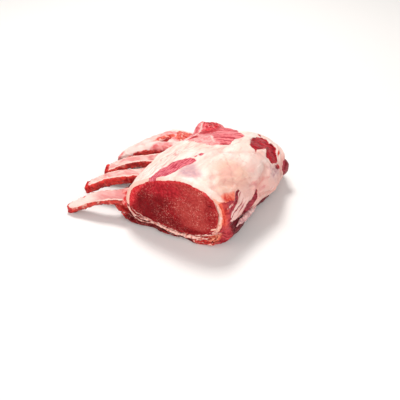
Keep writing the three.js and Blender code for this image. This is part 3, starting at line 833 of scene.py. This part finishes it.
# The end muscle: coarse red lean that lies bare at the back left, where the fat was trimmed off it.
# A striated lobe lies towards the middle, and a darker round lobe hangs over the ribs' side.
end_outline = [
    (-68, 91), (-53, 79), (-37, 71), (-20, 68), (-6, 75), (-4, 84), (-5, 98), (-5, 112), (-18, 128), (-31, 141),
    (-48, 151), (-76, 147), (-80, 118),
]
end_from, end_under = 62.0, 5.0  # along, and how deep it goes into the fat
end_columns, end_rows, end_facet = 320, 84, 0.001
end_lobe, lobe_radii = np.array([-59.0, 134, 30]), np.array([17.5, 26, 15])
white_bands = [
    [(-68, 137, 0.6), (-65, 122, 1.2), (-60, 104, 1.5), (-58, 93, 1.5), (-60, 84, 1.2)],
    [(-38, 96, 0.3), (-31, 90, 0.8), (-24, 80, 1.0), (-19, 75, 0.5)],
]


def end_colour(n):
    fibre, fine = n.ramp("fibres", -0.5, 0.5), n.cloud(0.35, 0.65, 300, 3)
    patches = n.cloud(0.55, 0.66, 210, 4, distortion=1.0, most=0.5)
    return n.layers(
        n.over(fibre, "ae2e3c", "ea8084"),
        (n.torn("veil", 4, 2.5, 150), fine, "dc7c7c", "efaaa6"),
        (n.torn("deep", 4, 2.0, 200), fine, "9c0a18", "d6323e"),
        (n.times(patches, n.stored("mixed")), "f2b8b0"),
        (n.torn("dark", 2.5, 1.8, 300), "ac1a24"),
        (n.torn("white", 3.0, 1.2, 250), "f0ccc4"),
    )


def remeshed(made, voxel, smooth=2):
    """Joins a piece's overlapping bodies into one skin of even facets."""
    remesh = made.modifiers.new("skin", "REMESH")
    remesh.mode = "VOXEL"
    remesh.voxel_size = voxel
    soften = made.modifiers.new("soften", "SMOOTH")
    soften.iterations = smooth
    mesh = bpy.data.meshes.new_from_object(made.evaluated_get(bpy.context.evaluated_depsgraph_get()))
    made.modifiers.clear()
    old = made.data
    made.data = mesh
    bpy.data.meshes.remove(old)
    mesh.shade_smooth()


def ball(centre, radii, rings=40, columns=60):
    """The points and faces of an egg shape."""
    turn = np.linspace(0.05, math.pi - 0.05, rings)[:, None]
    around = np.linspace(0, 2 * math.pi, columns, endpoint=False)
    round_ball = stacked(np.sin(turn) * np.cos(around), np.sin(turn) * np.sin(around), np.cos(turn))
    return closed_rings(centre + round_ball * radii)


outline = even_outline(eye_outline, end_columns)
left = outline[(outline[:, 3] > -0.3) & (outline[:, 0] < 12)]
left = left[np.argsort(left[:, 0] - 0.2 * left[:, 1])]
along = np.linspace(end_from, loin_length, end_rows)[:, None]
surface = cover_surface(left, along).reshape(-1, 3)
depth = inside(surface[:, :2], even_outline(end_outline, 60)[:, :2]) + 1.5 * grain(surface, 7, 51)
proud = (-3.2 + 4.2 * ease(-3.5, 2.5, depth)).reshape(len(along), -1)
rings = np.concatenate([cover_surface(left, along, proud), cover_surface(left, along, -end_under)[:, ::-1]], 1)
body = joined(closed_rings(rings), ball(end_lobe, lobe_radii))
material = flesh("end_lean", end_colour, shine=0.2, scale=420, dry=0.55, wet=0.3)
made = piece("end_muscle_meat", body, "end_muscle", material)
remeshed(made, end_facet)
place = points_of(made)
x, y, z = place.T
striated = 1 / (1 + np.exp(-(x + 0.28 * (y - 100) + 36) / 4))
crosswise = stacked(y - 0.6 * x, x + 0.6 * y, z)
fibres = striated * 1.4 * grain(crosswise, (2.6, 30, 14), 52) + (1 - striated) * grain(place, (4, 5, 4), 53)
fibres = fibres + 0.5 * grain(place, 2.0, 54)
white = deepest(place[:, :2], *white_bands)
rise = 0.5 * fibres + grains(place, (0.7, (8, 14, 8), 55), (0.3, 3, 56)) - 0.5 * ease(-1, 1, white)
rise = rise + humps(place, (1.6, (-66, 138, 38), (18, 20, 16))) * grain(place, 6, 61)
raise_surface(made, rise + humps(place, (4.5, (-73, 138, 40), (8, 10, 8)), (2.0, (-37, 135, 47), (9, 9, 9))))
deep_spots = (14, (-53, 118, 48), (14, 15, 20)), (12, (-60, 142, 43), (10, 12, 12)), (9, (-52, 88, 58), (7, 8, 8))
dark_spots = [(-50, 120, 49, 2.5), (-55, 112, 50, 2)], [(-47, 88, 61, 1.0), (-55, 91, 57, 1.4)]
mark(
    made, fibres=fibres, veil=8 - 0.6 * (y - 68 + 0.5 * (x + 20)) - 3 * ease(-30, -12, x), white=white,
    deep=np.max([humps(place, spot) for spot in deep_spots], 0) - 5, dark=deepest(place, *dark_spots),
    mixed=1 - striated,
)

# The back muscle: the dark round end of a lean muscle. It grew inside the backbone side of the fat, and its cut end
# comes out past that near the back cut.
back_place, back_radii = np.array([33, 128, 23.4]), np.array([6.8, 8, 9.8])


def dark_colour(n):
    return n.over(n.cloud(0.35, 0.65, 300, 3, (1.0, 0.5, 1.0), 0.5), "741a20", "983640")


material = flesh("dark_lean", dark_colour, shine=0.2)
made = piece("back_muscle_end", ball(back_place, back_radii, rings=36, columns=56), "back_muscle", material)
raise_surface(made, grains(points_of(made), (0.45, 5, 14), (0.2, 2, 15)) - 0.3)

# The rib meat: a ragged slab of dark lean under the eye and out to the ribs, cut flat below.
# The rack lies on it. Torn shreds, pale tendon and pink fat show along its front.
meat_corner, meat_tuck, meat_edge = 1.8, 9.0, 2.5
lip_places, lip_reach, lip_width = (-70.0, 4.0), 3.2, 12.0
slab_columns, slab_rows, slab_cut_rings, shred_rows = 360, 120, 16, 44
meat_outline = [
    (-95, 17), (-90, 10), (-83, 5), (-72, 0), (-28, -1), (4, -1), (19, 0), (28.5, 4), (32.5, 10), (31, 18), (22, 26),
    (-30, 26), (-74, 26), (-91, 24),
]
shreds = [  # each how far it stands out from the cut, and its path on the cut as across, up and half width
    (1.4, [(-6, 5.4, 0.8), (-1, 4.6, 1.6), (5, 4, 1.7), (9, 5.2, 1.2)]),
    (0.8, [(3, 7, 0.8), (8, 6.4, 1.5), (13, 7, 1.6), (17, 8.4, 1.2), (20, 12, 1.0)]),
    (0.8, [(6, 3.8, 1.0), (12, 3.6, 1.7), (18, 4.2, 1.6), (24, 6.4, 1.0)]),
    (1.0, [(18, 7, 0.8), (22, 9, 1.5), (24, 13, 1.4), (23, 18, 0.6)]),
    (2.4, [(-86, 10, 0.8), (-80, 6, 1.5), (-73, 3.4, 1.4), (-66, 2.6, 0.8)]),
    (2.8, [(-72, 6, 0.6), (-66, 4.4, 1.0), (-60, 4.6, 1.0), (-54, 6, 0.6)]),
    (0.8, [(-92, 15, 0.8), (-86, 13, 1.4), (-80, 11, 1.2), (-76, 11, 0.8)]),
    (-1.5, [(-98, 19, 1.4), (-95, 16.5, 2.4), (-91.5, 13.5, 3.2), (-88, 11, 3.2), (-84.5, 8, 2.4)]),
    (2.6, [(-50, 5, 0.5), (-42, 3.6, 1.0), (-34, 3.4, 0.9), (-26, 3.0, 0.8), (-18, 3.4, 0.4)]),
]


def meat_colour(n):
    fibre = n.cloud(0.35, 0.65, 240, 4, (1.0, 0.6, 1.2), 0.8)
    pale = n.cloud(0.54, 0.62, 190, 4, (1.0, 1.0, 2.2), 1.5, 0.9)
    return n.layers(
        n.over(fibre, "52070d", "8a181c"),
        (n.torn("red", 4, 2.0, 180), fibre, "981418", "c43a34"),
        (n.ramp("corner", 0.2, 0.9), fibre, "8e1a24", "c4464c"),
        # painted shade on the right side of the slab, under the overhanging flank
        (n.ramp("purple", 0.2, 0.9), fibre, "4c0e16", "701e28"),
        (n.times(pale, n.stored("tendon")), "eeb4a6"),
        (n.torn("lump", 2, 1.0), n.cloud(0.38, 0.62, 280, 3), "c6503c", "e89478"),
    )


def drawn_back(x, z, along):
    """How far the slab stands back from the cuts. It comes forward in two low lips."""
    at_front = 1 - ease(0, 12, along)
    lips = sum(lip_reach * bell(x, lip, lip_width) for lip in lip_places) * ease(14, 8, z)
    corner = meat_corner * ease(-4, 12, x) * (1 - ease(0, loin_length / 2, along))
    return 1.2 * (at_front - ease(loin_length - 12, loin_length, along)) - lips * at_front + corner


outline, along = even_outline(meat_outline, slab_columns), stations(slab_rows)
level = carried(outline, along, 0.0)
rough = np.where(level[..., 2] > 1.5, 0.8 * lumps(level * (1.7, 1.9, 1.0)), 0)
rings = carried(outline, along, rough - edge_drop(along, meat_edge, back_edge))
rings[..., 1] += drawn_back(rings[..., 0], rings[..., 2], along)
rings[..., 0] -= meat_tuck * np.clip(rings[..., 0] / 27, 0, 1) * ease(5, 70, along)
front = drawn_in(rings[0], np.linspace(0.06, 0.96, slab_cut_rings)[:, None, None])
front[..., 1] = cornered(front[..., 0], 0.0) + drawn_back(front[..., 0], front[..., 2], 0.0) + 1
torn_shreds = [strand(on_front(path, proud), shred_rows, seed=60 + i) for i, (proud, path) in enumerate(shreds)]
material = flesh("rib_lean", meat_colour, shine=0.12, scale=380, dry=0.6, wet=0.35, bump=0.0006)
body = joined(closed_rings(np.concatenate([front, rings])), *torn_shreds)
made = piece("rib_meat_slab", body, "rib_meat", material)
place = points_of(made)
x, y, z = place.T
rise = grains(place, (1.0, (7, 9, 5), 15), (0.8, 3.6, 16), (0.4, 1.8, 17))
raise_surface(made, rise * ease(0.2, 4, z) * (1 - 0.6 * ease(18, 26, x)))
red_spots = (9, (-88, 2, 12), (9, 12, 8)), (10, (14, 0, 4), (18, 9, 8))
tendons = (1.2, (8, -1, 5), (17, 7, 8)), (0.2, (-76, -2, 6), (16, 6, 8)), (0.7, (-93, -1, 16), (7, 7, 6))
mark(
    made, red=np.max([humps(place, spot) for spot in red_spots], 0) - 4, purple=ease(20, 27, x) * ease(11, 22, y),
    corner=ease(17, 25, x + 0.3 * y), tendon=0.1 + humps(place, *tendons),
    lump=humps(place, (6, (19.5, 3, 12), (7, 8, 5.5))) - 2.2,
)

# Three single ribs: bars of bone and meat that leave the loin and arch down to a sawn end. A pale pink skin
# covers the top, and the torn red meat between the ribs hangs on both sides.
rib_slant, rib_root = 0.345, -74.0
rib_rows, rib_columns = 130, 64
ribs = {
    "rib_1": {
        "line": 29.6, "width": 14.2, "thick": 11.5, "tip": -144, "root": 23, "arch": 19.8, "end": 2.5, "roll": 0.4,
        "skin": 0.05, "point": 0.3, "red_root": 0, "pink": 0.7,
    },
    "rib_2": {
        "line": 61.6, "width": 14.4, "thick": 13, "tip": -143, "arch": 25.5, "end": 9.5, "skin": 0.4, "point": 0.15,
        "pink": 0.1,
    },
    "rib_3": {
        "line": 95, "width": 15, "thick": 9.5, "tip": -142, "arch": 26, "end": 10.5, "slim": 1.0, "skin": 0.3,
        "point": 0.1, "pink": 0.4,
    },
}


def rib_colour(n):
    raw = n.cloud(0.42, 0.6, 300, 3)
    skin = n.layers(
        n.over(n.cloud(0.43, 0.58, 120, 4, (0.4, 1.2, 1.2), 0.6), "ecbeb4", "d98e8a"),
        (n.cloud(0.5, 0.62, 85, 5, distortion=0.4, most=0.55), "cf6c6c"),
        (n.cloud(0.5, 0.7, 420, 3, (0.3, 1.4, 1.4), most=0.5), "f8e0d8"),
        (n.stored("rosy"), "ce807e"),
        (n.times(n.stored("pale"), 0.8), "f0d4ca"),
        (n.torn("fringe", 1.5, 0.7, 380), "f4d2c6"),
    )
    meat = n.layers(
        n.over(n.cloud(0.35, 0.65, 260, 3, (0.6, 1.0, 1.0), 0.6), "a01218", "e43c34"),
        # painted shade on the rib's underside
        (n.ramp("under", 0.2, 0.8), "6a0c10"),
        (n.times(n.stored("pink"), 0.5), "983c2e"),
        (n.times(n.cloud(0.54, 0.62, 170, 3), n.stored("pink")), "e6a696"),
    )
    return n.layers(
        skin,
        (n.torn("side", 2.2, 0.45, 380), meat),
        (n.torn("tip", 2.6, 0.6, 380), raw, "a2040c", "d02e28"),
        (n.torn("root", 6, 1.6, 240), raw, "c8282a", "ee8c84"),
    )


rib_material = flesh("rib", rib_colour, shine=0.25, scale=420, wet=0.3)


def build_rib(
    name, line, width, thick, tip, arch, end, skin, point, pink, root=29, roll=0.2, slim=0.95, red_root=-20
):
    """A rib that slants away from the loin. Its heights are root, arch and end. Skin is how far its skin comes down
    on both sides, point how pointed it gets, slim how slim, and red_root how far its raw root shows."""
    forward = np.array([-1, -rib_slant]) / math.hypot(1, rib_slant)
    sideways = np.array([forward[1], -forward[0]])
    share = np.linspace(0, 1, rib_rows)[:, None] ** 0.92
    turn = np.linspace(0, 2 * math.pi, rib_columns, endpoint=False)
    x = rib_root + (tip - rib_root) * (1 - (1 - share) ** 1.15)
    y = line + rib_slant * x
    z = root + (arch - root) * ease(0, 0.5, share)
    z = z + (end - z) * ease(0.35, 1.1, share)
    blunt = np.sqrt(1 - np.clip((share - 0.965) / 0.045, 0, 1) ** 2)
    pointed = 1 - point * ease(0.6, 1.05, share)
    size = (1 - (1 - slim) * ease(0.5, 1, share)) * blunt * (1.35 - 0.35 * ease(0, 0.3, share))
    cos, sin = np.cos(turn), np.sin(turn)
    wide = width / 2 * size * pointed * np.sign(cos) * np.abs(cos) ** 0.75
    up = thick / 2 * size * np.sign(sin) * np.abs(sin) ** 0.75
    tilted = wide * math.cos(roll) - up * math.sin(roll) + width / 2 - 0.22 * width * (1 - pointed) / point
    raised = wide * math.sin(roll) + up * math.cos(roll)
    rough = 0.5 * lumps(stacked(2 * x, 2 * y + 9 * cos, 9 * sin))
    rings = stacked(x + sideways[0] * tilted, y + sideways[1] * tilted, np.maximum(z + raised + rough, 0))
    made = piece(name + "_bar", closed_rings(rings), name, rib_material)
    place = points_of(made)
    near, top, shares = for_rings(-cos, rings), for_rings(sin, rings), for_rings(share, rings, at_ends=(0, 1))
    side = (skin + 0.8 * np.abs(near) - top) * thick / 2 + 1.6 * grain(place, (9, 4, 4), 21)
    meaty = ease(-1.5, 1.5, side)
    rise = 0.35 * grain(place, (9, 4, 4), 18) + meaty * grains(place, (0.8, (5, 3, 3), 19), (0.5, 1.8, 20))
    rise = rise + 0.5 * bell(side, 0.5, 1.2) * grain(place, (2.5, 2, 2), 22)
    raise_surface(made, rise * ease(0.1, 2, place[:, 2]))
    # under marks the underside, which gets painted shade.
    mark(
        made, side=side, fringe=side + 1.3, under=ease(-0.2 + 0.9 * point, -0.95 + 0.9 * point, top),
        tip=(shares - 0.88) * 70 - 15 * point * ease(0, 1, top) + 2.0 * grain(place, 3, 23),
        root=(0.16 - shares) * 60 * (near > -0.2) + 3 * grain(place, 5, 24) - 2 + red_root,
        rosy=pink * ease(0.65, 0.4, shares), pale=ease(0.45, 0.6, pink) * ease(0.4, 0.65, shares),
        pink=np.full(len(side), pink),
    )


for name, sizes in ribs.items():
    build_rib(name, **sizes)

# The rib flap: the last two ribs, still joined by the meat and the pale membrane between them, as one broad
# flap with a torn edge.
flap_start, flap_end = 96.0, 142.0
flap_height, flap_thick = 30.0, 3.6
flap_rows, flap_columns = 110, 66
flap_oval = [(-107, 85), (-105, 91), (-101, 98), (-94, 102), (-86, 102), (-84, 96), (-90, 90), (-100, 86)]
flap_top = [(-112, 106), (-112, 124), (-96, 128), (-88, 122), (-88, 114), (-98, 112), (-106, 110)]
flap_raw_end = [(-96, 130), (-84, 134), (-76, 130), (-80, 122), (-86, 115), (-92, 116), (-95, 122)]
flap_raw_line = [(-115, 102, 0.8), (-110, 109, 2.0), (-104, 115, 2.6), (-98, 120, 2.6)]
flap_notch = [(-116, 98, 0.8), (-111, 102, 1.8), (-106, 106, 2.2), (-101, 111, 2.0), (-98, 116, 0.8)]
flap_tip = [(-142, 71, 1.5), (-136, 76, 1.5)]


def flap_colour(n):
    fine = n.cloud(0.35, 0.65, 260, 4, (0.6, 1.0, 1.0), 0.6)
    fatty = n.over(n.cloud(0.5, 0.62, 200, 4), "e26c5a", "f4c4b4")
    return n.layers(
        n.over(n.cloud(0.42, 0.7, 80, 3, (0.6, 1.0, 1.0), 0.5), "ecd0c8", "e4b0a8"),
        (n.torn("meat", 3, 1.5, 200), fine, "dc6e70", "f0a6a2"),
        (n.torn("raw", 4, 1.0, 240), fine, "b8281e", fatty),
        # painted shade along the notch
        (n.torn("dark", 1.6, 0.5, 300), "a01618"),
        (n.torn("edge", 2.2, 0.4, 380), fine, "98141a", "e24a44"),
    )


share = np.linspace(0, 1, flap_rows)[:, None] ** 1.4
step = np.concatenate([np.linspace(0, 1, flap_columns), np.linspace(1, 0, flap_columns)])
top = np.repeat([1.0, -1.0], flap_columns)
base = flap_start + (flap_end - flap_start) * share
outer = -142 + 5 * ease(0, 0.2, share) + 22 * ease(0.25, 1.05, share) + 6 * ease(0.93, 1, share)
rim = np.sqrt(1 - (1 - np.clip(share / 0.08, 0.003, 1)) ** 2) - 0.7 * ease(0.93, 1, share)
x = rib_root + (outer - rib_root) * np.sin(step * math.pi / 2) ** 1.1
y = base + rib_slant * (x - rib_root) * (1 - 0.55 * share) - 4 * bell(x, -122, 13) * (1 - ease(0, 0.3, share))
z = flap_height - 13 * ease(0.3, 1.15, step) - 6 * share + 2.5 * ease(0.2, 0.7, share) * ease(0.2, 0.6, step)
z = z - 4.5 * (1 - ease(0, 0.16, share))
ridges = (2.1 * bell(share, 0.16, 0.13) + 3.2 * bell(share, 0.8, 0.2)) * (1 - 0.4 * step)
hollow = 2.8 * bell(share, 0.43, 0.07) * (1 - ease(0.35, 0.7, step))
thick = flap_thick * rim + np.where(top > 0, ridges - hollow, 0)
thick = thick * np.sqrt(1 - 0.98 * np.clip((step - 0.84) / 0.16, 0, 1) ** 2)
rough = 0.4 * lumps(stacked(2 * x, 2.2 * y, 20.0))
rings = stacked(x, y, z + top * thick + rough)
material = flesh("rib_flap", flap_colour, shine=0.25, scale=420, wet=0.3)
made = piece("rib_flap_skin", closed_rings(rings), "rib_flap", material)
place = points_of(made)
plan = place[:, :2]
shares, tops = for_rings(share, rings, at_ends=(0, 1)), for_rings(top, rings)
steps = for_rings(step, rings, at_ends=(0.5, 0.5))
raw, notch = deepest(plan, flap_raw_end, flap_raw_line), in_band(plan, flap_notch)
rise = grains(place, (0.5, (9, 5, 5), 22), (0.3, 3, 23)) + 0.6 * ease(0.1, 0, shares) * grain(place, 2.2, 25)
rise = rise + 2.4 * ease(-1, 2, raw) * grain(place, 3.8, 24) - 1.6 * ease(-1, 1, notch)
raise_surface(made, rise * (1 - 0.7 * ease(0.9, 1, steps)))
dark_side = ease(-127, -121, place[:, 0]) * ease(-86, -92, place[:, 0])
meat = np.maximum(deepest(plan, flap_oval, flap_tip), inside(plan, flap_top) - 1)
edge = np.where(tops > 0, 40 * (0.03 - shares), 3) - 5 * (1 - dark_side)
# dark is painted shade along the notch, which is also pressed in.
mark(made, edge=edge, meat=meat, raw=raw, dark=notch)

# A plain pale floor, soft studio light from the upper left and from behind, and a camera at the front corner
# of the backbone side.
camera_place, camera_aim = (300.0, -483.3, 467.5), (-32.2, 64.1, 0.0)
camera_roll = math.radians(-2.53)
focal_length, sensor_width = 67.5, 36

floor_paint = bpy.data.materials.new("pale_floor")
floor_paint.use_nodes = True
floor_shader = floor_paint.node_tree.nodes["Principled BSDF"].inputs
floor_shader["Base Color"].default_value = paint("e8e5e3")
floor_shader["Roughness"].default_value = 0.8
bpy.ops.mesh.primitive_plane_add(size=8, location=(0, 0, -0.0002))
floor = bpy.context.object
floor.name = "floor"
floor.data.materials.append(floor_paint)


def softbox(name, place, size, power, colour):
    """A square soft light that points at the rack."""
    light = bpy.data.lights.new(name, "AREA")
    light.size = size
    light.energy = power
    light.color = colour
    made = bpy.data.objects.new(name, light)
    bpy.context.collection.objects.link(made)
    made.location = place
    made.rotation_mode = "QUATERNION"
    made.rotation_quaternion = (Vector((0, 0, 0.03)) - made.location).to_track_quat("-Z", "Y")


softbox("key", (-0.3, 0.35, 0.95), 0.3, 9.5, (1.0, 0.985, 0.96))
softbox("fill", (0.75, -0.75, 0.6), 1.0, 11.5, (1.0, 0.99, 0.98))
softbox("front", (-0.8, -0.6, 0.45), 0.9, 3.2, (1.0, 0.99, 0.98))
world = bpy.data.worlds.new("studio")
bpy.context.scene.world = world
world.use_nodes = True
backdrop = world.node_tree.nodes["Background"].inputs
backdrop["Color"].default_value = (1, 1, 1, 1)
backdrop["Strength"].default_value = 0.3
bpy.context.scene.view_settings.view_transform = "Standard"

camera = bpy.data.objects.new("camera", bpy.data.cameras.new("camera"))
bpy.context.collection.objects.link(camera)
camera.data.lens = focal_length
camera.data.sensor_width = sensor_width
camera.location = (np.array(camera_place) + zero) / 1000
look = Vector(np.array(camera_aim) - np.array(camera_place))
camera.rotation_mode = "QUATERNION"
camera.rotation_quaternion = look.to_track_quat("-Z", "Y") @ Quaternion((0, 0, 1), camera_roll)
bpy.context.scene.camera = camera
